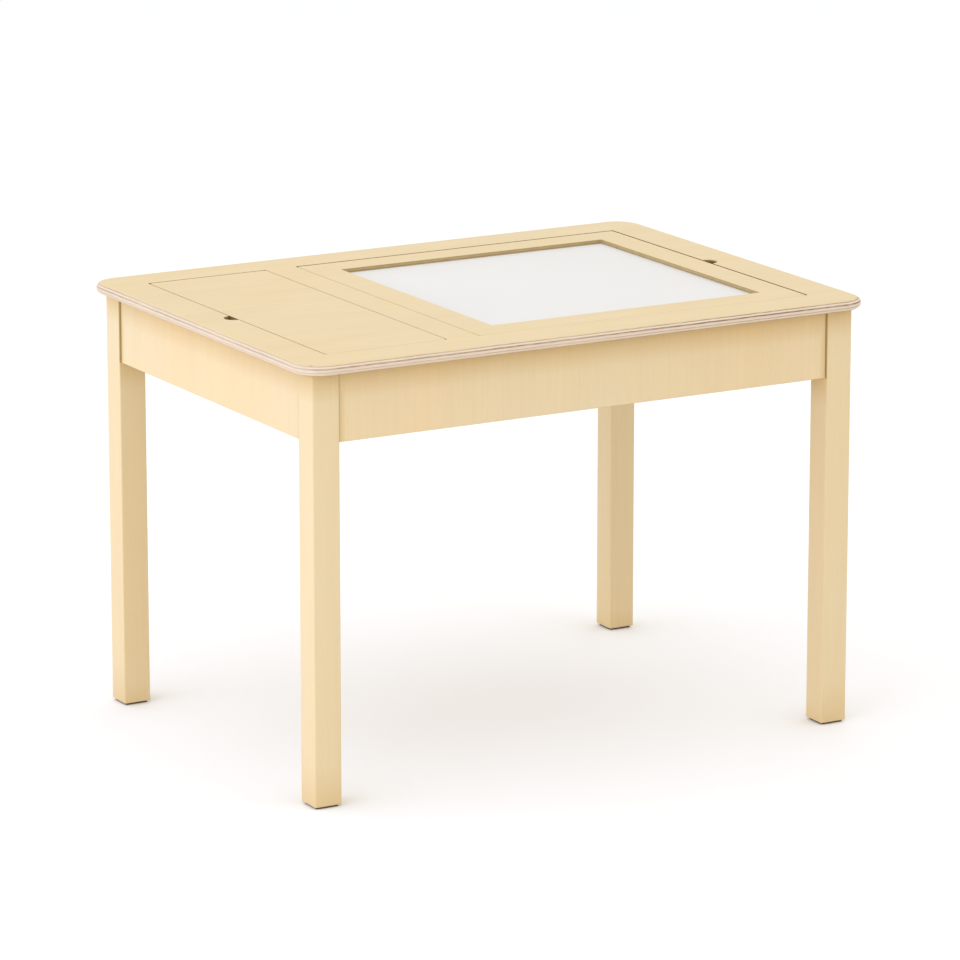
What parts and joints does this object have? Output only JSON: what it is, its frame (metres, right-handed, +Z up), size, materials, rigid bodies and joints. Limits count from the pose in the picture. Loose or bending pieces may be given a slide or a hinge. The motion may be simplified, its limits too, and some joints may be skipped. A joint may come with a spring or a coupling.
{
  "type": "kids table with storage",
  "caption": "Child's wooden play table with a rounded plywood top, lift-out lids over a divided storage well, and square legs.",
  "frame": {"origin": "middle of the table's footprint, on the floor, under the foot pads", "axes": "+X to the table's right along its longest side, with the large lid on that side; +Y to its back; +Z up"},
  "size_m": [0.898, 0.663, 0.619],
  "materials": {
    "top_plywood": "clear satin lacquer on pale plywood",
    "solid_birch": "clear satin lacquer",
    "apron_birch": "clear satin lacquer",
    "inner_birch": "thinly lacquered, matt",
    "white_board": "matt white",
    "foot_pad": "matt dark brown-grey",
    "zinc_steel": "bright zinc plate"
  },
  "bodies": {
    "table": {"table_top": "top_plywood", "leg_front_left": "solid_birch", "leg_front_right": "solid_birch", "leg_back_right": "solid_birch", "leg_back_left": "solid_birch", "pad_front_left": "foot_pad", "pad_front_right": "foot_pad", "pad_back_right": "foot_pad", "pad_back_left": "foot_pad", "apron_front": "apron_birch", "apron_back": "apron_birch", "apron_left": "apron_birch", "apron_right": "apron_birch", "ledge_front": "inner_birch", "ledge_back": "inner_birch", "ledge_left": "inner_birch", "ledge_right": "inner_birch", "ledge_centre": "inner_birch", "divider": "inner_birch", "storage_floor": "inner_birch", "bracket_front_left": "zinc_steel", "bracket_front_right": "zinc_steel", "bracket_back_right": "zinc_steel", "bracket_back_left": "zinc_steel", "hanger_bolts": "zinc_steel", "bolt_washers": "zinc_steel", "bolt_nuts": "zinc_steel", "bracket_screws": "zinc_steel", "ledge_screws": "zinc_steel"},
    "left_lid": {"lid_left": "top_plywood"},
    "right_lid": {"lid_right": "top_plywood", "white_panel": "white_board"}
  },
  "joints": [
    {"name": "left_lid_lift", "type": "slide", "parent": "table", "child": "left_lid", "axis": [0, 0, 1], "range_m": [0, 0.2]},
    {"name": "right_lid_lift", "type": "slide", "parent": "table", "child": "right_lid", "axis": [0, 0, 1], "range_m": [0, 0.2]}
  ]
}
